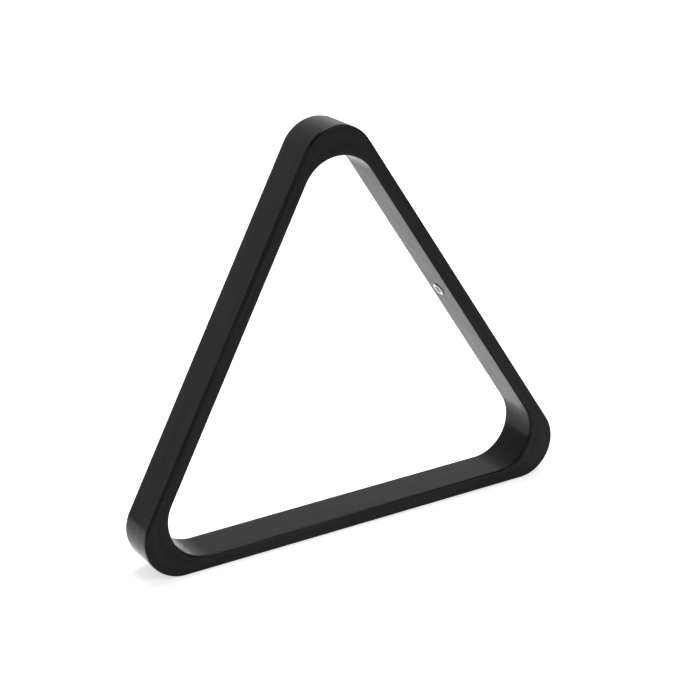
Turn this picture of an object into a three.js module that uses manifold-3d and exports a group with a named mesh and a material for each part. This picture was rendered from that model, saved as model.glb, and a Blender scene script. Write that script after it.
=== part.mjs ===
// Triangle ball rack in black lacquered hardwood, standing on its bottom rail.
//
// Units are millimetres. X runs along the bottom rail, Y through the depth of the rack with the
// front face on the -Y side, and Z is up. The origin is under the middle of the bottom rail.
//
// Three straight rails meet three thicker, curved corner blocks in butt joints. Each joint is held
// by two dowels. A flanged ferrule lines the hanging hole in the right rail.

import * as THREE from "three";
import { mergeVertices } from "three/addons/utils/BufferGeometryUtils.js";
import Module from "manifold-3d";

const wasm = await Module();
wasm.setup();

// --- Driving dimensions -----------------------------------------------------------------------

const BALL_DIAMETER = 57.15; // a 2 1/4 in pool ball
const BALLS_PER_SIDE = 5;
const RACKING_PLAY = 1; // what the 15 balls can shift along one side
const RAIL_THICKNESS = 10;
const RACK_DEPTH = 34;
const OUTER_CORNER_RADIUS = 27.5;
const INNER_CORNER_RADIUS = BALL_DIAMETER / 2; // the corner ball nests in the block
const EDGE_RADIUS = 1.8; // round-over along every long edge
const FIT_GAP = 0.3; // between pieces that touch

const JOINT_LEAD = 2.5; // straight stretch of a corner block next to its joint
const DOWEL_DIAMETER = 4;
const DOWEL_LENGTH = 20;
const DOWEL_SPACING = 15; // between the two dowels of a joint
const DOWEL_CHAMFER = 0.6;

const FERRULE_FLANGE_DIAMETER = 10;
const FERRULE_FLANGE_HEIGHT = 0.9;
const FERRULE_BARREL_DIAMETER = 7;
const FERRULE_BORE_DIAMETER = 5;
const FERRULE_BELOW_MIDDLE = 6; // along the right rail, from its middle towards the floor
const FERRULE_BEHIND_MIDDLE = 3; // through the depth, from the middle towards the back

const ARC_SEGMENTS = 12; // for half of a 120 degree corner
const EDGE_SEGMENTS = 4; // across one round-over
const ROUND_SEGMENTS = 32; // around a dowel, a bore or the ferrule

// --- Derived sizes ----------------------------------------------------------------------------

const TAN_HALF_CORNER = Math.tan(Math.PI / 6); // half of the 60 degree corner angle
const INNER_SIDE = BALL_DIAMETER * (BALLS_PER_SIDE - 1 + Math.sqrt(3)) + RACKING_PLAY;
const OUTER_SIDE = INNER_SIDE + (2 * RAIL_THICKNESS) / TAN_HALF_CORNER;
const INNER_INRADIUS = (INNER_SIDE / 2) * TAN_HALF_CORNER;
const CENTRE_HEIGHT = RAIL_THICKNESS + INNER_INRADIUS; // the ball triangle's centre above the floor
const RAIL_LENGTH = INNER_SIDE - 2 * (INNER_CORNER_RADIUS / TAN_HALF_CORNER + JOINT_LEAD);

const BLACK_LACQUER = { color: 0x161616, roughness: 0.42, metalness: 0 };
const BARE_BEECH = { color: 0xc9a271, roughness: 0.75, metalness: 0 };
const NICKEL_PLATE = { color: 0xcfcfcb, roughness: 0.22, metalness: 1 };

// A side is a rail with the joints at its two ends, seen from the centre of the triangle. Turning
// the bottom side about the Y axis gives the other two.
const SIDES = [
  { rail: "bottom_rail", turn: 0 },
  { rail: "right_rail", turn: (-2 * Math.PI) / 3 },
  { rail: "left_rail", turn: (2 * Math.PI) / 3 },
];

// A corner block is named after the corner that follows its side on the +X end.
const CORNERS = [
  { block: "bottom_right_corner", turn: 0 },
  { block: "top_corner", turn: (-2 * Math.PI) / 3 },
  { block: "bottom_left_corner", turn: (2 * Math.PI) / 3 },
];

// --- Solids -----------------------------------------------------------------------------------

function toSolid(geometry) {
  const plain = geometry.clone();
  plain.deleteAttribute("normal");
  plain.deleteAttribute("uv");
  const merged = mergeVertices(plain, 1e-4);
  const mesh = new wasm.Mesh({
    numProp: 3,
    vertProperties: new Float32Array(merged.attributes.position.array),
    triVerts: new Uint32Array(merged.index.array),
  });
  return new wasm.Manifold(mesh);
}

function toGeometry(solid) {
  const mesh = solid.getMesh();
  const geometry = new THREE.BufferGeometry();
  geometry.setAttribute("position", new THREE.BufferAttribute(mesh.vertProperties, 3));
  geometry.setIndex(new THREE.BufferAttribute(mesh.triVerts, 1));
  geometry.computeVertexNormals();
  return geometry;
}

function makeMesh(name, solid, finish) {
  const mesh = new THREE.Mesh(toGeometry(solid), new THREE.MeshStandardMaterial(finish));
  mesh.name = name;
  return mesh;
}

// --- The ring ---------------------------------------------------------------------------------

// Adds a rounded triangle with its centre at the origin and one side at the bottom to a path.
function traceRoundedTriangle(path, side, cornerRadius) {
  const inradius = (side / 2) * TAN_HALF_CORNER;
  const centreDistance = 2 * (inradius - cornerRadius);
  const sweep = (2 * Math.PI) / 3;
  for (let corner = 0; corner < 3; corner += 1) {
    const bisector = -Math.PI / 6 + corner * sweep;
    const x = centreDistance * Math.cos(bisector);
    const y = centreDistance * Math.sin(bisector);
    path.absarc(x, y, cornerRadius, bisector - sweep / 2, bisector + sweep / 2, false);
  }
  path.closePath();
}

// The whole rack before it is divided into rails and corner blocks, centred on the origin.
function makeRing() {
  const outline = new THREE.Shape();
  traceRoundedTriangle(outline, OUTER_SIDE, OUTER_CORNER_RADIUS);
  const opening = new THREE.Path();
  traceRoundedTriangle(opening, INNER_SIDE, INNER_CORNER_RADIUS);
  outline.holes.push(opening);
  const geometry = new THREE.ExtrudeGeometry(outline, {
    depth: RACK_DEPTH - 2 * EDGE_RADIUS,
    curveSegments: ARC_SEGMENTS,
    bevelEnabled: true,
    bevelThickness: EDGE_RADIUS,
    bevelSize: EDGE_RADIUS,
    bevelOffset: -EDGE_RADIUS,
    bevelSegments: EDGE_SEGMENTS,
  });
  geometry.translate(0, 0, EDGE_RADIUS - RACK_DEPTH / 2);
  geometry.rotateX(Math.PI / 2);
  return toSolid(geometry);
}

// --- Cutting the ring into rails and corner blocks --------------------------------------------

// Turns a solid from the bottom side's place to another side's place.
function turned(solid, turn) {
  return solid.rotate([0, THREE.MathUtils.radToDeg(turn), 0]);
}

function makeBox(low, high) {
  const size = high.clone().sub(low);
  const middle = low.clone().add(high).multiplyScalar(0.5);
  const geometry = new THREE.BoxGeometry(size.x, size.y, size.z);
  geometry.translate(middle.x, middle.y, middle.z);
  return toSolid(geometry);
}

// A box that reaches past the whole ring on every side but its low X face.
function makeHalfSpace(lowX) {
  const reach = OUTER_SIDE;
  return makeBox(new THREE.Vector3(lowX, -reach, -reach), new THREE.Vector3(reach, reach, reach));
}

function makeRailBlank(ring) {
  const halfLength = (RAIL_LENGTH - FIT_GAP) / 2;
  const low = new THREE.Vector3(-halfLength, -RACK_DEPTH, -INNER_INRADIUS - 2 * RAIL_THICKNESS);
  const high = new THREE.Vector3(halfLength, RACK_DEPTH, -INNER_INRADIUS + RAIL_THICKNESS);
  return ring.intersect(makeBox(low, high));
}

// The block between the +X end of the bottom side and the -X end of the right side.
function makeCornerBlank(ring) {
  const jointX = (RAIL_LENGTH + FIT_GAP) / 2;
  const pastBottomRail = makeHalfSpace(jointX);
  const beforeRightRail = turned(makeHalfSpace(jointX).mirror([1, 0, 0]), SIDES[1].turn);
  return ring.intersect(pastBottomRail).intersect(beforeRightRail);
}

// --- Dowels -----------------------------------------------------------------------------------

// A cylinder along X with its middle at the given point.
function makeRodAlongX(diameter, length, chamfer, x, y, z) {
  const radius = diameter / 2;
  const profile = [
    new THREE.Vector2(0, -length / 2),
    new THREE.Vector2(radius - chamfer, -length / 2),
    new THREE.Vector2(radius, chamfer - length / 2),
    new THREE.Vector2(radius, length / 2 - chamfer),
    new THREE.Vector2(radius - chamfer, length / 2),
    new THREE.Vector2(0, length / 2),
  ];
  const geometry = new THREE.LatheGeometry(profile, ROUND_SEGMENTS);
  geometry.rotateZ(-Math.PI / 2);
  geometry.translate(x, y, z);
  return toSolid(geometry);
}

// The dowel places of the bottom side. The other sides turn them with the rail.
function dowelPlaces() {
  const places = [];
  for (const [end, x] of [["start", -RAIL_LENGTH / 2], ["end", RAIL_LENGTH / 2]]) {
    for (const [row, y] of [["front", -DOWEL_SPACING / 2], ["back", DOWEL_SPACING / 2]]) {
      places.push({ name: `${end}_dowel_${row}`, x, y, z: -INNER_INRADIUS - RAIL_THICKNESS / 2 });
    }
  }
  return places;
}

function makeDowel({ x, y, z }) {
  return makeRodAlongX(DOWEL_DIAMETER, DOWEL_LENGTH, DOWEL_CHAMFER, x, y, z);
}

// The holes for the dowels at both ends of the bottom side, through the joints.
function makeDowelHoles() {
  const diameter = DOWEL_DIAMETER + 2 * FIT_GAP;
  const length = DOWEL_LENGTH + 2 * FIT_GAP;
  const holes = dowelPlaces().map(({ x, y, z }) => makeRodAlongX(diameter, length, DOWEL_CHAMFER, x, y, z));
  return holes.reduce((all, hole) => all.add(hole));
}

// --- Hanging ferrule --------------------------------------------------------------------------

// Moves a solid from the origin, with +Z as its axis, to the hanging hole on the inner face of the
// right rail, where the axis points into the triangle.
function atHangingHole(solid) {
  const onBottomSide = solid.translate([-FERRULE_BELOW_MIDDLE, FERRULE_BEHIND_MIDDLE, -INNER_INRADIUS]);
  return turned(onBottomSide, SIDES[1].turn);
}

function makeLatheAlongZ(profile) {
  const geometry = new THREE.LatheGeometry(profile, ROUND_SEGMENTS);
  geometry.rotateX(Math.PI / 2);
  return toSolid(geometry);
}

function makeHangingHole() {
  const radius = FERRULE_BARREL_DIAMETER / 2 + FIT_GAP;
  const profile = [
    new THREE.Vector2(0, -2 * RAIL_THICKNESS),
    new THREE.Vector2(radius, -2 * RAIL_THICKNESS),
    new THREE.Vector2(radius, RAIL_THICKNESS),
    new THREE.Vector2(0, RAIL_THICKNESS),
  ];
  return atHangingHole(makeLatheAlongZ(profile));
}

// A tube through the rail with a domed flange on the inner face.
function makeFerrule() {
  const boreRadius = FERRULE_BORE_DIAMETER / 2;
  const barrelRadius = FERRULE_BARREL_DIAMETER / 2;
  const flangeRadius = FERRULE_FLANGE_DIAMETER / 2;
  const domeHalfWidth = (flangeRadius - boreRadius) / 2;
  const domeMiddle = boreRadius + domeHalfWidth;
  const domeSteps = 8;
  const farEnd = FIT_GAP - RAIL_THICKNESS;
  const profile = [
    new THREE.Vector2(boreRadius, farEnd),
    new THREE.Vector2(barrelRadius, farEnd),
    new THREE.Vector2(barrelRadius, FIT_GAP),
  ];
  for (let step = 0; step <= domeSteps; step += 1) {
    const angle = (Math.PI * step) / domeSteps;
    const radius = domeMiddle + domeHalfWidth * Math.cos(angle);
    profile.push(new THREE.Vector2(radius, FIT_GAP + FERRULE_FLANGE_HEIGHT * Math.sin(angle)));
  }
  profile.push(profile[0].clone());
  return atHangingHole(makeLatheAlongZ(profile));
}

// --- Assembly ---------------------------------------------------------------------------------

function makeRack() {
  const rack = new THREE.Group();
  const ring = makeRing();
  const railBlank = makeRailBlank(ring);
  const cornerBlank = makeCornerBlank(ring);
  const dowelHoles = makeDowelHoles();
  const nextSideHoles = turned(dowelHoles, SIDES[1].turn);

  const rail = railBlank.subtract(dowelHoles);
  for (const side of SIDES) {
    const solid = turned(rail, side.turn);
    const isDrilled = side.rail === "right_rail";
    rack.add(makeMesh(side.rail, isDrilled ? solid.subtract(makeHangingHole()) : solid, BLACK_LACQUER));
    for (const place of dowelPlaces()) {
      rack.add(makeMesh(`${side.rail}_${place.name}`, turned(makeDowel(place), side.turn), BARE_BEECH));
    }
  }

  const corner = cornerBlank.subtract(dowelHoles).subtract(nextSideHoles);
  for (const { block, turn } of CORNERS) {
    rack.add(makeMesh(block, turned(corner, turn), BLACK_LACQUER));
  }

  rack.add(makeMesh("hanging_ferrule", makeFerrule(), NICKEL_PLATE));
  rack.position.z = CENTRE_HEIGHT;
  return rack;
}

export default makeRack();
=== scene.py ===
"""Looks of the triangle rack: black lacquered rails and corner blocks, dowels and a ferrule.

The rack stands on its bottom rail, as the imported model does: X runs along that rail, Y through
the depth with the front face on the -Y side, and Z is up. Everything is in metres.
"""

import math

import bmesh
import bpy
from mathutils import Matrix, Vector


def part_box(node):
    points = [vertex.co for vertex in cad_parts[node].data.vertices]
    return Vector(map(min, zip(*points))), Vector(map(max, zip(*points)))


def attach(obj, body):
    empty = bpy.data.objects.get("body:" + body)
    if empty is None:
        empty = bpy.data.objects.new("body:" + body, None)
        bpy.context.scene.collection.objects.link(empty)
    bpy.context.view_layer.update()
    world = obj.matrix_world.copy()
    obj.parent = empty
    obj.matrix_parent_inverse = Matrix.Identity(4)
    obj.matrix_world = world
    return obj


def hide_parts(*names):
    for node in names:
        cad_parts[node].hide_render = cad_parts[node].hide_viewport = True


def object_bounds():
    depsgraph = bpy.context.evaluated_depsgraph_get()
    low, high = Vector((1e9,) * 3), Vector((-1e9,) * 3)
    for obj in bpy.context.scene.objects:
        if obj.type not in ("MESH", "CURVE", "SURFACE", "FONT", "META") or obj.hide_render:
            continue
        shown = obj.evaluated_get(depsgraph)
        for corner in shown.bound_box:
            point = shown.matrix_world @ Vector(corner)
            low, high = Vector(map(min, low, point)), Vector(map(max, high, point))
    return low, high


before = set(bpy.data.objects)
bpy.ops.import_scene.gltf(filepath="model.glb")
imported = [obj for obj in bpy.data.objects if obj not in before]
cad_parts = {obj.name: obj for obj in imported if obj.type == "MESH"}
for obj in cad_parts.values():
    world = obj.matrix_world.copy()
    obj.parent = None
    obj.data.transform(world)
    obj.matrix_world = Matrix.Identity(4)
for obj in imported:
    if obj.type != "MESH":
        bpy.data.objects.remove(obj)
cad_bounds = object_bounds()

# --- Sizes, from the frame ----------------------------------------------------------------------

MM = 0.001
BALL_DIAMETER = 57.15 * MM
EDGE_RADIUS = 1.8 * MM  # round-over along every long edge
JOINT_GROOVE = 0.03 * MM  # half the width of the hairline in the lacquer at a joint
JOINT_SUPPORT = 3 * JOINT_GROOVE  # from a joint to the first of the even steps along a bar

RACK_LOW, RACK_HIGH = cad_bounds
RACK_WIDTH = RACK_HIGH.x - RACK_LOW.x
RACK_DEPTH = RACK_HIGH.y - RACK_LOW.y
RACK_HEIGHT = RACK_HIGH.z - RACK_LOW.z

BOTTOM_RAIL_LOW, BOTTOM_RAIL_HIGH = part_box("bottom_rail")
RAIL_THICKNESS = BOTTOM_RAIL_HIGH.z - BOTTOM_RAIL_LOW.z
JOINT_X = (BOTTOM_RAIL_HIGH.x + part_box("bottom_right_corner")[0].x) / 2  # the middle of the glue line

# A rounded triangle's height and width give its side and the radius of its corners.
ROOT_3 = math.sqrt(3)
OUTER_CORNER_RADIUS = (RACK_HEIGHT - RACK_WIDTH * ROOT_3 / 2) / (2 - ROOT_3)
OUTER_SIDE = RACK_WIDTH + 2 * OUTER_CORNER_RADIUS * (ROOT_3 - 1)
OUTER_INRADIUS = OUTER_SIDE / 2 / ROOT_3
INNER_INRADIUS = OUTER_INRADIUS - RAIL_THICKNESS
INNER_CORNER_RADIUS = BALL_DIAMETER / 2  # the corner ball nests in the block
CENTRE = Vector((0, (RACK_LOW.y + RACK_HIGH.y) / 2, RACK_LOW.z + OUTER_INRADIUS))

THIRD_TURN = 2 * math.pi / 3
SIDE_TURNS = {"bottom": 0, "right": -THIRD_TURN, "left": THIRD_TURN}
CORNER_TURNS = {"bottom_right": 0, "top": -THIRD_TURN, "bottom_left": THIRD_TURN}

# The two rail ends that each corner block joins.
CORNER_JOINTS = {
    "bottom_right": [("bottom", "end"), ("right", "start")],
    "top": [("right", "end"), ("left", "start")],
    "bottom_left": [("left", "end"), ("bottom", "start")],
}

FERRULE_SEAT_GAP = 0.3 * MM  # between the CAD flange and the rail, closed here
FERRULE_FLANGE_HEIGHT = 0.9 * MM
FERRULE_BARREL_RADIUS = 3.5 * MM
FERRULE_BORE_RADIUS = 2.5 * MM
FERRULE_LIP = 0.25 * MM  # broken edges, and the flange's rim under its dome
FERRULE_CLEARANCE = 0.02 * MM  # between the barrel and its hole


def turned_to(turn):
    """The transform from the bottom side, about the origin, to a side of the standing rack."""
    return Matrix.Translation(CENTRE) @ Matrix.Rotation(turn, 4, "Y")


def direction(angle):
    """A unit vector in the plane of the rack, anticlockwise from +X as the front shows it."""
    return Vector((math.cos(angle), 0, math.sin(angle)))


# --- Materials ----------------------------------------------------------------------------------


def add_spread(tree, value, low, high, to_low, to_high):
    """Adds a node that maps a range of a socket's values to another, eased and held inside it."""
    made = tree.nodes.new("ShaderNodeMapRange")
    made.interpolation_type = "SMOOTHSTEP"
    for socket, amount in zip(made.inputs[1:5], (low, high, to_low, to_high)):
        socket.default_value = amount
    tree.links.new(value, made.inputs["Value"])
    return made.outputs["Result"]


class Shader:
    """A material's node tree, with the few node kinds that the finishes share."""

    def __init__(self, name):
        self.material = bpy.data.materials.new(name)
        self.material.use_nodes = True
        self.nodes = self.material.node_tree.nodes
        self.links = self.material.node_tree.links
        self.surface = self.nodes["Principled BSDF"]

    def node(self, kind, **inputs):
        """Adds a node, and sets or links the inputs named with _ for a space."""
        made = self.nodes.new(kind)
        for name, value in inputs.items():
            self.feed(made.inputs[name.replace("_", " ")], value)
        return made

    def feed(self, socket, value):
        if isinstance(value, bpy.types.NodeSocket):
            self.links.new(value, socket)
        else:
            socket.default_value = value

    def lengthwise(self, along, across):
        """Coordinates that run along a piece and round it, in cycles per metre."""
        uv = self.nodes.new("ShaderNodeUVMap")
        uv.uv_map = "lengthwise"
        return self.node("ShaderNodeMapping", Vector=uv.outputs["UV"], Scale=(along, across, 1)).outputs[0]

    def solid(self, cycles):
        """Coordinates through the whole rack, in cycles per metre."""
        place = self.nodes.new("ShaderNodeTexCoord").outputs["Object"]
        return self.node("ShaderNodeMapping", Vector=place, Scale=(cycles, cycles, cycles)).outputs[0]

    def noise(self, coordinates, detail=2.0, roughness=0.5, distortion=0.0):
        made = self.node("ShaderNodeTexNoise", Vector=coordinates, Scale=1.0, Detail=detail)
        made.inputs["Roughness"].default_value = roughness
        made.inputs["Distortion"].default_value = distortion
        return made.outputs["Fac"]

    def spread(self, value, low, high, to_low, to_high):
        return add_spread(self.material.node_tree, value, low, high, to_low, to_high)

    def maths(self, operation, first, second):
        made = self.nodes.new("ShaderNodeMath")
        made.operation = operation
        self.feed(made.inputs[0], first)
        self.feed(made.inputs[1], second)
        return made.outputs[0]

    def blend(self, factor, first, second):
        made = self.nodes.new("ShaderNodeMix")
        made.data_type = "RGBA"
        self.feed(made.inputs["Factor"], factor)
        self.feed(made.inputs["A"], (*first, 1) if isinstance(first, tuple) else first)
        self.feed(made.inputs["B"], (*second, 1) if isinstance(second, tuple) else second)
        return made.outputs["Result"]

    def bump(self, height, depth, under=None):
        """Relief of that depth in metres, on top of the relief under it."""
        made = self.node("ShaderNodeBump", Height=height, Distance=depth, Strength=1.0)
        if under is not None:
            self.links.new(under, made.inputs["Normal"])
        return made.outputs["Normal"]

    def finish(self, **inputs):
        for name, value in inputs.items():
            self.feed(self.surface.inputs[name.replace("_", " ")], value)
        return self.material


def make_lacquer():
    """Satin black lacquer over wood, whose grain and pores show as faint lengthwise lines.

    handling is where hands have dulled it, peel the orange peel of the sprayed film, and sway
    the slow waviness of a surface sanded by hand.
    """
    shader = Shader("black_lacquer")
    pores = shader.noise(shader.lengthwise(60, 1900), detail=3.0, roughness=0.6)
    sunk = shader.spread(pores, 0.52, 0.72, 0.0, 1.0)
    streaks = shader.noise(shader.lengthwise(13, 200), detail=4.0, roughness=0.6)
    peel = shader.noise(shader.solid(420), detail=1.0)
    sway = shader.noise(shader.solid(22), detail=1.0)
    handling = shader.noise(shader.solid(75), detail=4.0, roughness=0.65)
    relief = shader.bump(sway, 0.25 * MM)
    relief = shader.bump(peel, 0.01 * MM, relief)
    relief = shader.bump(streaks, 0.14 * MM, relief)
    relief = shader.bump(shader.maths("MULTIPLY", sunk, -1.0), 0.008 * MM, relief)
    tone = shader.blend(shader.spread(streaks, 0.3, 0.7, 0.0, 1.0), (0.0028,) * 3, (0.0074,) * 3)
    tone = shader.blend(sunk, tone, (0.0022,) * 3)
    dulling = shader.spread(handling, 0.3, 0.7, 0.16, 0.26)
    roughness = shader.maths("ADD", dulling, shader.maths("MULTIPLY", sunk, 0.06))
    return shader.finish(
        Base_Color=tone,
        Roughness=roughness,
        Normal=relief,
        Specular_IOR_Level=0.1,
    )


def make_beech():
    """Bare beech, pale with short dark flecks along the grain."""
    shader = Shader("bare_beech")
    fleck = shader.noise(shader.lengthwise(320, 3600), detail=3.0, roughness=0.6)
    band = shader.noise(shader.lengthwise(40, 700), detail=2.0)
    tone = shader.blend(band, (0.52, 0.33, 0.17), (0.66, 0.45, 0.25))
    tone = shader.blend(shader.spread(fleck, 0.58, 0.7, 0.0, 0.7), tone, (0.27, 0.14, 0.06))
    return shader.finish(
        Base_Color=tone,
        Roughness=shader.spread(fleck, 0.3, 0.7, 0.62, 0.8),
        Normal=shader.bump(fleck, 0.03 * MM),
    )


def make_nickel():
    """Nickel plate, slightly smudged by handling."""
    shader = Shader("nickel_plate")
    smudge = shader.noise(shader.solid(600), detail=3.0)
    tone = shader.blend(smudge, (0.42, 0.415, 0.4), (0.54, 0.53, 0.51))
    return shader.finish(
        Base_Color=tone,
        Metallic=1.0,
        Roughness=shader.spread(smudge, 0.3, 0.7, 0.2, 0.34),
        Normal=shader.bump(smudge, 0.01 * MM),
    )


# --- Mesh tools ---------------------------------------------------------------------------------

RAIL_STEPS = 60  # along a rail
LEAD_STEPS = 5  # along each straight end of a corner block
ARC_STEPS = 56  # round the curve of a corner block
EDGE_STEPS = 8  # across a round-over
FACE_STEPS = 6  # across a flat face
ROUND_STEPS = 64  # round a dowel, the ferrule or a hole
DOME_STEPS = 14  # across the ferrule's flange


def skin_loops(loops, lengths):
    """Joins closed loops of points into a tube with flat ends, and returns it as a bmesh.

    The UV layer holds metres: along the tube, from lengths, and round it.
    """
    builder = bmesh.new()
    uv_layer = builder.loops.layers.uv.new("lengthwise")
    rings = [[builder.verts.new(point) for point in loop] for loop in loops]
    count = len(loops[0])
    widest = loops[len(loops) // 2]
    around = [0.0]
    for index in range(count):
        around.append(around[-1] + (widest[(index + 1) % count] - widest[index]).length)
    for here in range(len(rings) - 1):
        for index in range(count):
            after = (index + 1) % count
            corners = (
                (rings[here][index], lengths[here], around[index]),
                (rings[here][after], lengths[here], around[index + 1]),
                (rings[here + 1][after], lengths[here + 1], around[index + 1]),
                (rings[here + 1][index], lengths[here + 1], around[index]),
            )
            face = builder.faces.new([vert for vert, _, _ in corners])
            face.smooth = True
            for loop, (_, along, across) in zip(face.loops, corners):
                loop[uv_layer].uv = (along, across)
    for ring in (rings[0], rings[-1]):
        for edge in builder.faces.new(ring).edges:
            edge.smooth = False
    bmesh.ops.recalc_face_normals(builder, faces=builder.faces)
    return builder


def add_piece(name, builder, material, node):
    """Makes the piece that stands for a CAD node, and rides on the only body."""
    mesh = bpy.data.meshes.new(name)
    builder.to_mesh(mesh)
    builder.free()
    mesh.materials.append(material)
    piece = bpy.data.objects.new(name, mesh)
    bpy.context.scene.collection.objects.link(piece)
    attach(piece, "root")
    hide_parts(node)
    return piece


# --- Rails and corner blocks --------------------------------------------------------------------


def rounded_edge(corner, rim_normal, face_normal):
    """A quarter-round at a corner of the section, from the flat face over to the rim."""
    centre = corner - EDGE_RADIUS * (rim_normal + face_normal)
    points = []
    for step in range(EDGE_STEPS + 1):
        angle = math.pi / 2 * step / EDGE_STEPS
        reach = math.cos(angle) * face_normal + math.sin(angle) * rim_normal
        points.append(centre + EDGE_RADIUS * reach)
    return points


def between(start, end):
    """The points inside a flat stretch, closer towards its ends, so that it shades flat."""
    shares = [(1 - math.cos(math.pi * step / FACE_STEPS)) / 2 for step in range(1, FACE_STEPS)]
    return [start.lerp(end, share) for share in shares]


def section(outer, inner, inset=0.0):
    """The closed loop of points round a bar. outer and inner are (point, normal) of its rims."""
    loop = []
    front, back = Vector((0, -1, 0)), Vector((0, 1, 0))
    reach = RACK_DEPTH / 2 - inset
    corners = []
    for (point, normal), faces in ((outer, (front, back)), (inner, (back, front))):
        rim = point - inset * normal
        corners.append(rounded_edge(rim + reach * faces[0], normal, faces[0]))
        corners.append(rounded_edge(rim + reach * faces[1], normal, faces[1])[::-1])
    for corner, after in zip(corners, corners[1:] + corners[:1]):
        loop += corner
        loop += between(corner[-1], after[0])
    return loop


def build_bar(outer_rim, inner_rim, turn):
    """A bar between two rims of equally many (point, normal), with its ends' edges just broken."""
    last = len(outer_rim) - 1
    place = turned_to(turn)
    loops = []
    lengths = [0.0]
    for index, (outer, inner) in enumerate(zip(outer_rim, inner_rim)):
        inset = JOINT_GROOVE if index in (0, last) else 0.0
        loops.append([place @ point for point in section(outer, inner, inset)])
        if index:
            lengths.append(lengths[-1] + (outer[0] - outer_rim[index - 1][0]).length)
    return skin_loops(loops, lengths)


def rail_rim(height, normal):
    """One rim of the bottom rail, from joint to joint."""
    flat = JOINT_X - JOINT_SUPPORT
    places = [flat * (2 * step / RAIL_STEPS - 1) for step in range(RAIL_STEPS + 1)]
    start, end = [-JOINT_X, JOINT_GROOVE - JOINT_X], [JOINT_X - JOINT_GROOVE, JOINT_X]
    return [(Vector((x, 0, height)), normal) for x in start + places + end]


def corner_rim(inradius, radius, side):
    """One rim of the bottom right corner, from joint to joint. side is 1 outside and -1 inside."""
    bisector = -math.pi / 6
    centre = 2 * (inradius - radius) * direction(bisector)
    to_right_side = Matrix.Rotation(-THIRD_TURN, 3, "Y")
    start = JOINT_X + JOINT_SUPPORT
    lead = [JOINT_X, JOINT_X + JOINT_GROOVE]
    lead += [start + (centre.x - start) * step / LEAD_STEPS for step in range(LEAD_STEPS)]
    down = direction(-math.pi / 2)
    rim = [(Vector((x, 0, -inradius)), side * down) for x in lead]
    for step in range(ARC_STEPS + 1):
        outward = direction(bisector + math.pi / 3 * (2 * step / ARC_STEPS - 1))
        rim.append((centre + radius * outward, side * outward))
    for x in reversed(lead):
        rim.append((to_right_side @ Vector((-x, 0, -inradius)), side * (to_right_side @ down)))
    return rim


def build_rail(turn):
    down = direction(-math.pi / 2)
    return build_bar(rail_rim(-OUTER_INRADIUS, down), rail_rim(-INNER_INRADIUS, -down), turn)


def build_corner(turn):
    outer_rim = corner_rim(OUTER_INRADIUS, OUTER_CORNER_RADIUS, 1)
    inner_rim = corner_rim(INNER_INRADIUS, INNER_CORNER_RADIUS, -1)
    return build_bar(outer_rim, inner_rim, turn)


# --- Dowels -------------------------------------------------------------------------------------

DOWEL_LOW, DOWEL_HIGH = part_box("bottom_rail_start_dowel_front")  # one that lies along X
DOWEL_LENGTH = DOWEL_HIGH.x - DOWEL_LOW.x
DOWEL_RADIUS = (DOWEL_HIGH.y - DOWEL_LOW.y) / 2
DOWEL_CHAMFER = 0.6 * MM
DOWEL_FLUTES = 12
DOWEL_FLUTE_DEPTH = 0.18 * MM
DOWEL_CLEARANCE = 0.1 * MM  # between a dowel and its hole
DOWEL_ROWS = ("front", "back")


def dowel_place(node, turn):
    """The transform that puts a dowel, made along +Z on the origin, in the place of its CAD node."""
    low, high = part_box(node)
    along_side = Matrix.Rotation(turn, 3, "Y") @ Vector((1, 0, 0))
    return Matrix.Translation((low + high) / 2) @ along_side.to_track_quat("Z", "Y").to_matrix().to_4x4()


def build_dowel(node, turn):
    """A fluted dowel with chamfered ends."""
    place = dowel_place(node, turn)
    stops = (
        (-DOWEL_LENGTH / 2, DOWEL_RADIUS - DOWEL_CHAMFER),
        (DOWEL_CHAMFER - DOWEL_LENGTH / 2, DOWEL_RADIUS),
        (DOWEL_LENGTH / 2 - DOWEL_CHAMFER, DOWEL_RADIUS),
        (DOWEL_LENGTH / 2, DOWEL_RADIUS - DOWEL_CHAMFER),
    )
    loops = []
    for height, reach in stops:
        loop = []
        for step in range(ROUND_STEPS):
            angle = 2 * math.pi * step / ROUND_STEPS
            radius = reach - DOWEL_FLUTE_DEPTH * max(0.0, math.cos(DOWEL_FLUTES * angle)) ** 2
            loop.append(place @ Vector((radius * math.cos(angle), radius * math.sin(angle), height)))
        loops.append(loop)
    return skin_loops(loops, [height for height, _ in stops])


# --- Hanging ferrule ----------------------------------------------------------------------------


def ferrule_place():
    """The transform that puts the ferrule, made along +Z on the origin, into its hole."""
    low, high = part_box("hanging_ferrule")
    flange_radius = (high.y - low.y) / 2
    inward = direction(-math.pi * 5 / 6)
    # Known fault: this takes the node's highest point for the flange's upper edge, but it is the
    # barrel's outer end. So the ferrule and its hole sit 4.3 mm up the rail from the CAD node.
    height = high.z - flange_radius * math.cos(math.pi / 6) + FERRULE_SEAT_GAP * math.sin(math.pi / 6)
    face_x = (2 * INNER_INRADIUS - (height - CENTRE.z)) / ROOT_3
    seat = Vector((face_x, (low.y + high.y) / 2, height))
    return Matrix.Translation(seat) @ inward.to_track_quat("Z", "Y").to_matrix().to_4x4()


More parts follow.
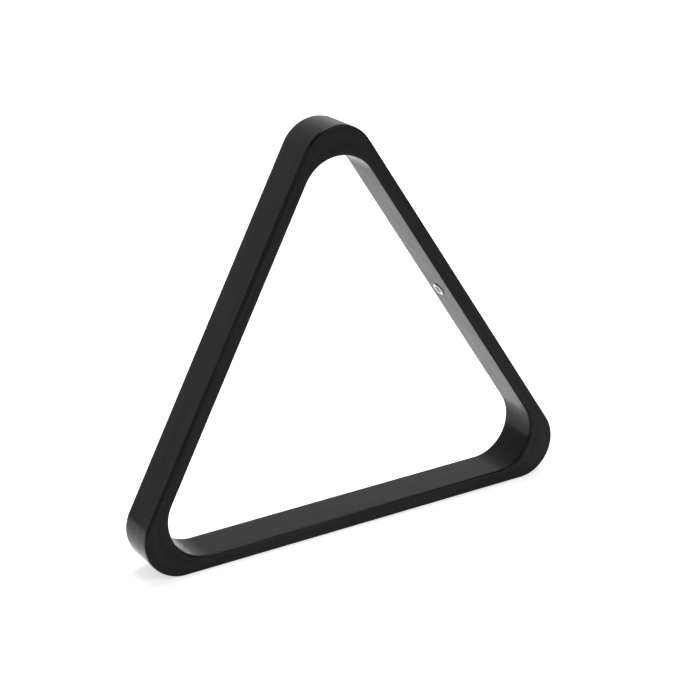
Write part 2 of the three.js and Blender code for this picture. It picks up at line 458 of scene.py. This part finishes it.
def ferrule_profile():
    """(radius, height) round the ferrule's section, from the bore's outer end and back."""
    low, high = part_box("hanging_ferrule")
    flange_radius = (high.y - low.y) / 2
    half_width = (flange_radius - FERRULE_BORE_RADIUS) / 2
    far_end = FERRULE_SEAT_GAP - RAIL_THICKNESS
    profile = [
        (FERRULE_BORE_RADIUS + FERRULE_LIP, far_end),
        (FERRULE_BARREL_RADIUS - FERRULE_LIP, far_end),
        (FERRULE_BARREL_RADIUS, far_end + FERRULE_LIP),
        (FERRULE_BARREL_RADIUS, 0.0),
        (flange_radius - FERRULE_LIP, 0.0),
    ]
    for step in range(DOME_STEPS + 1):
        angle = math.pi * step / DOME_STEPS
        radius = FERRULE_BORE_RADIUS + half_width * (1 + math.cos(angle))
        dome = (FERRULE_FLANGE_HEIGHT - FERRULE_LIP) * math.sin(angle)
        profile.append((radius, FERRULE_LIP + dome))
    profile.append((FERRULE_BORE_RADIUS, far_end + FERRULE_LIP))
    return profile


def build_ferrule():
    """A domed flange on a tube, turned about its axis."""
    builder = bmesh.new()
    uv_layer = builder.loops.layers.uv.new("lengthwise")
    place = ferrule_place()
    profile = ferrule_profile()
    rings = []
    for radius, height in profile:
        ring = []
        for step in range(ROUND_STEPS):
            angle = 2 * math.pi * step / ROUND_STEPS
            point = Vector((radius * math.cos(angle), radius * math.sin(angle), height))
            ring.append(builder.verts.new(place @ point))
        rings.append(ring)
    for here, there in zip(rings, rings[1:] + rings[:1]):
        for step in range(ROUND_STEPS):
            after = (step + 1) % ROUND_STEPS
            face = builder.faces.new((here[step], here[after], there[after], there[step]))
            face.smooth = True
            for loop in face.loops:
                loop[uv_layer].uv = (loop.vert.co.z, loop.vert.co.y)
    bmesh.ops.recalc_face_normals(builder, faces=builder.faces)
    return builder


# --- Holes --------------------------------------------------------------------------------------


def drill(piece, radius, length, places):
    """Cuts round holes into a piece, each along the Z axis of a transform and centred on it."""
    builder = bmesh.new()
    for place in places:
        bmesh.ops.create_cone(
            builder,
            segments=ROUND_STEPS,
            radius1=radius,
            radius2=radius,
            depth=length,
            cap_ends=True,
            matrix=place,
        )
    mesh = bpy.data.meshes.new("drill_bit")
    builder.to_mesh(mesh)
    builder.free()
    bit = bpy.data.objects.new("drill_bit", mesh)
    bpy.context.scene.collection.objects.link(bit)
    cut = piece.modifiers.new("holes", "BOOLEAN")
    cut.operation = "DIFFERENCE"
    cut.solver = "EXACT"
    cut.object = bit
    graph = bpy.context.evaluated_depsgraph_get()
    drilled = bpy.data.meshes.new_from_object(piece.evaluated_get(graph))
    piece.modifiers.remove(cut)
    piece.data = drilled
    bpy.data.objects.remove(bit)
    drilled.set_sharp_from_angle(angle=math.radians(40))


def drill_for_dowels(piece, joints):
    """Cuts the holes of both dowels at each joint. A joint is (side, end of its rail)."""
    places = []
    for side, end in joints:
        for row in DOWEL_ROWS:
            places.append(dowel_place(f"{side}_rail_{end}_dowel_{row}", SIDE_TURNS[side]))
    drill(piece, DOWEL_RADIUS + DOWEL_CLEARANCE, DOWEL_LENGTH + 2 * DOWEL_CLEARANCE, places)


# --- Studio -------------------------------------------------------------------------------------

CAMERA_AZIMUTH = math.radians(-27.76)
CAMERA_ELEVATION = math.radians(20.49)
CAMERA_ROLL = math.radians(-3.47)
CAMERA_DISTANCE = 1.4312
CAMERA_AIM = Vector((0.0051, 0.0078, 0.1296))
CAMERA_LENS_MM = 110.45

FLOOR_REACH = 12.0
FLOOR_GLOW = 0.54  # round the rack
FAR_FLOOR_GLOW = 0.72  # out where the softboxes no longer reach, as the camera sees it
FAR_FLOOR_REFLECTED = 0.1  # the same, as the rack reflects it
FAR_FLOOR = 1.5  # how far from the rack that is
NEAR_FLOOR = 0.35  # where the glow starts to change, as the camera sees it
NEAR_FLOOR_REFLECTED = 0.5  # the same, as the rack reflects it
ROOM_STRENGTH = 0.33  # what the rack reflects of the room in front of it
SWEEP_STRENGTH = 1.0  # what it reflects of the white sweep behind it
HORIZON_SHARE = 0.35  # how much of the sweep's extra light is left where it meets the floor
BACKDROP_STRENGTH = 1.05  # what the camera sees past the floor


def make_camera():
    """A camera at the photograph's angle."""
    camera = bpy.data.cameras.new("camera")
    camera.sensor_width = 36
    camera.lens = CAMERA_LENS_MM
    camera.clip_start = 0.01
    camera.clip_end = 100
    level = Vector((math.cos(CAMERA_AZIMUTH), math.sin(CAMERA_AZIMUTH), 0))
    backward = Vector((math.sin(CAMERA_AZIMUTH), -math.cos(CAMERA_AZIMUTH), 0)) * math.cos(CAMERA_ELEVATION)
    backward.z = math.sin(CAMERA_ELEVATION)
    upright = backward.cross(level)
    right = level * math.cos(CAMERA_ROLL) + upright * math.sin(CAMERA_ROLL)
    rotation = Matrix((right, backward.cross(right), backward)).transposed().to_4x4()
    holder = bpy.data.objects.new("camera", camera)
    holder.matrix_world = Matrix.Translation(CAMERA_AIM + CAMERA_DISTANCE * backward) @ rotation
    bpy.context.scene.collection.objects.link(holder)
    bpy.context.scene.camera = holder


def make_floor_finish():
    """White matt sweep, lit a little from within as a light table is, so that shadows stay faint."""
    shader = Shader("pale_floor")
    measure = shader.nodes.new("ShaderNodeVectorMath")
    measure.operation = "LENGTH"
    shader.links.new(shader.solid(1), measure.inputs[0])
    distance = measure.outputs["Value"]
    seen = shader.spread(distance, NEAR_FLOOR, FAR_FLOOR, FLOOR_GLOW, FAR_FLOOR_GLOW)
    reflected = shader.spread(
        distance, NEAR_FLOOR_REFLECTED, FAR_FLOOR, FLOOR_GLOW, FAR_FLOOR_REFLECTED
    )
    by_camera = shader.nodes.new("ShaderNodeLightPath").outputs["Is Camera Ray"]
    return shader.finish(
        Base_Color=(0.85, 0.85, 0.85, 1),
        Roughness=0.9,
        Specular_IOR_Level=0.0,
        Emission_Color=shader.blend(by_camera, reflected, seen),
        Emission_Strength=1.0,
    )


def make_floor():
    """A wide pale floor under the rack."""
    builder = bmesh.new()
    corners = [(-1, -1), (1, -1), (1, 1), (-1, 1)]
    builder.faces.new([builder.verts.new((FLOOR_REACH * x, FLOOR_REACH * y, 0)) for x, y in corners])
    mesh = bpy.data.meshes.new("floor")
    builder.to_mesh(mesh)
    builder.free()
    floor = bpy.data.objects.new("floor", mesh)
    bpy.context.scene.collection.objects.link(floor)
    mesh.materials.append(make_floor_finish())


def make_world():
    """White past the floor. The rack reflects a band of white sweep behind it in a dimmer room."""
    world = bpy.data.worlds.new("studio")
    bpy.context.scene.world = world
    world.use_nodes = True
    nodes, links = world.node_tree.nodes, world.node_tree.links
    ray = nodes.new("ShaderNodeTexCoord").outputs["Generated"]

    def facing(towards, low, high, to_low, to_high):
        """A value that changes as the ray's share of a direction goes from low to high."""
        share = nodes.new("ShaderNodeVectorMath")
        share.operation = "DOT_PRODUCT"
        share.inputs[1].default_value = towards
        links.new(ray, share.inputs[0])
        return add_spread(world.node_tree, share.outputs["Value"], low, high, to_low, to_high)

    up = (0, 0, 1)
    back = (-math.sin(CAMERA_AZIMUTH), math.cos(CAMERA_AZIMUTH), 0)
    behind = facing(back, 0.0, 0.85, 0.0, 1.0)
    under_top = facing(up, 0.35, 1.0, SWEEP_STRENGTH - ROOM_STRENGTH, 0.0)
    over_horizon = facing(up, -0.05, 0.15, HORIZON_SHARE, 1.0)
    band = nodes.new("ShaderNodeMath")
    band.operation = "MULTIPLY"
    links.new(under_top, band.inputs[0])
    links.new(over_horizon, band.inputs[1])
    sweep = nodes.new("ShaderNodeMath")
    sweep.operation = "MULTIPLY_ADD"
    links.new(behind, sweep.inputs[0])
    links.new(band.outputs[0], sweep.inputs[1])
    sweep.inputs[2].default_value = ROOM_STRENGTH
    room = nodes["Background"]
    room.inputs["Color"].default_value = (1, 1, 1, 1)
    links.new(sweep.outputs[0], room.inputs["Strength"])
    seen = nodes.new("ShaderNodeBackground")
    seen.inputs["Strength"].default_value = BACKDROP_STRENGTH
    seen.inputs["Color"].default_value = (1, 1, 1, 1)
    rays = nodes.new("ShaderNodeLightPath")
    mix = nodes.new("ShaderNodeMixShader")
    links.new(rays.outputs["Is Camera Ray"], mix.inputs[0])
    links.new(room.outputs[0], mix.inputs[1])
    links.new(seen.outputs[0], mix.inputs[2])
    links.new(mix.outputs[0], nodes["World Output"].inputs["Surface"])


def add_softbox(name, azimuth, elevation, distance, size, watts):
    """A square area light that faces the rack from that side."""
    lamp = bpy.data.lights.new(name, "AREA")
    lamp.shape = "SQUARE"
    lamp.size = size
    lamp.energy = watts
    azimuth, elevation = math.radians(azimuth), math.radians(elevation)
    away = Vector((math.sin(azimuth), -math.cos(azimuth), 0)) * math.cos(elevation)
    away.z = math.sin(elevation)
    holder = bpy.data.objects.new(name, lamp)
    holder.location = CENTRE + distance * away
    holder.rotation_euler = away.to_track_quat("Z", "Y").to_euler()
    bpy.context.scene.collection.objects.link(holder)


def make_studio():
    make_camera()
    make_floor()
    make_world()
    add_softbox("overhead", azimuth=150, elevation=70, distance=1.6, size=0.85, watts=24)
    add_softbox("front_left", azimuth=-52, elevation=25, distance=1.8, size=1.1, watts=7)
    add_softbox("front_right", azimuth=28, elevation=24, distance=1.8, size=1.0, watts=10)
    bpy.context.scene.view_settings.view_transform = "Standard"


# --- Assembly -----------------------------------------------------------------------------------


def make_rack():
    lacquer, beech, nickel = make_lacquer(), make_beech(), make_nickel()
    for side, turn in SIDE_TURNS.items():
        rail = add_piece(f"{side}_rail_piece", build_rail(turn), lacquer, f"{side}_rail")
        if side == "right":
            hole_radius = FERRULE_BARREL_RADIUS + FERRULE_CLEARANCE
            drill(rail, hole_radius, 4 * RAIL_THICKNESS, [ferrule_place()])
        drill_for_dowels(rail, [(side, "start"), (side, "end")])
        for end in ("start", "end"):
            for row in DOWEL_ROWS:
                node = f"{side}_rail_{end}_dowel_{row}"
                add_piece(f"{node}_piece", build_dowel(node, turn), beech, node)
    for corner, turn in CORNER_TURNS.items():
        node = f"{corner}_corner"
        block = add_piece(f"{node}_piece", build_corner(turn), lacquer, node)
        drill_for_dowels(block, CORNER_JOINTS[corner])
    add_piece("hanging_ferrule_piece", build_ferrule(), nickel, "hanging_ferrule")


make_studio()
make_rack()
